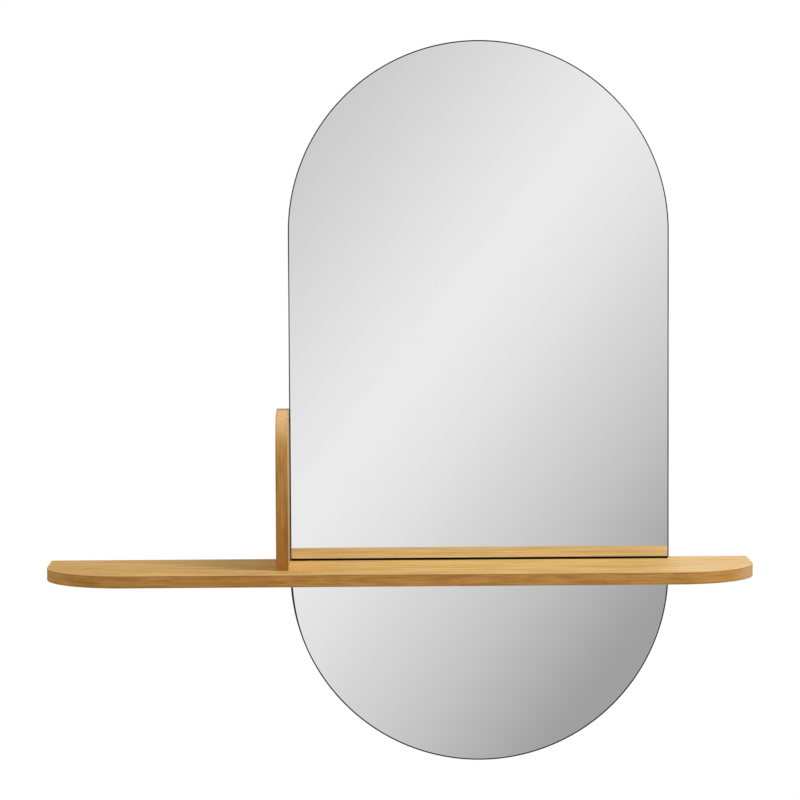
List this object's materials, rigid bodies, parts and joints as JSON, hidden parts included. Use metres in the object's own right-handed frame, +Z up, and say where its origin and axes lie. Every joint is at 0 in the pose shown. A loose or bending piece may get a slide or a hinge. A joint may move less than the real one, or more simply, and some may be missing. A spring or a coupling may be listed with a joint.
{
  "type": "wall mirror with shelf",
  "caption": "Capsule-shaped wall mirror cut across by a long oak shelf with rounded front corners and a small upright fin, hung on hooked aluminium rails.",
  "frame": {"origin": "midway between the two wall screw holes, on the wall plane", "axes": "+X to the right along the shelf, +Y into the wall, +Z up; the wall is the plane y = 0"},
  "size_m": [0.921, 0.175, 0.9498],
  "materials": {
    "panel_black": "black lacquered fibreboard",
    "mirror_glass": "silvered float glass with a polished arris",
    "foam_tape": "grey foam tape",
    "fibreboard": "medium density fibreboard, sealed edges",
    "oak_veneer": "oak veneer, satin lacquer",
    "oak_edge": "oak edge band, satin lacquer",
    "zinc_screw": "zinc plated",
    "beech_dowel": "fluted beech",
    "rail_aluminium": "satin extruded",
    "bumper_rubber": "matt"
  },
  "bodies": {
    "root": {"back_panel": "panel_black", "arch_glass": "mirror_glass", "bowl_glass": "mirror_glass", "arch_tape_strips": "foam_tape", "bowl_tape_strips": "foam_tape", "shelf_core": "fibreboard", "shelf_top_veneer": "oak_veneer", "shelf_bottom_veneer": "oak_veneer", "shelf_edge_band": "oak_edge", "fin_core": "fibreboard", "fin_right_veneer": "oak_veneer", "fin_left_veneer": "oak_veneer", "fin_edge_band": "oak_edge", "shelf_screws": "zinc_screw", "shelf_dowels": "beech_dowel", "fin_screws": "zinc_screw", "fin_dowel": "beech_dowel", "wall_rail": "rail_aluminium", "panel_rail": "rail_aluminium", "panel_rail_screws": "zinc_screw", "wall_bumpers": "bumper_rubber"}
  },
  "joints": []
}
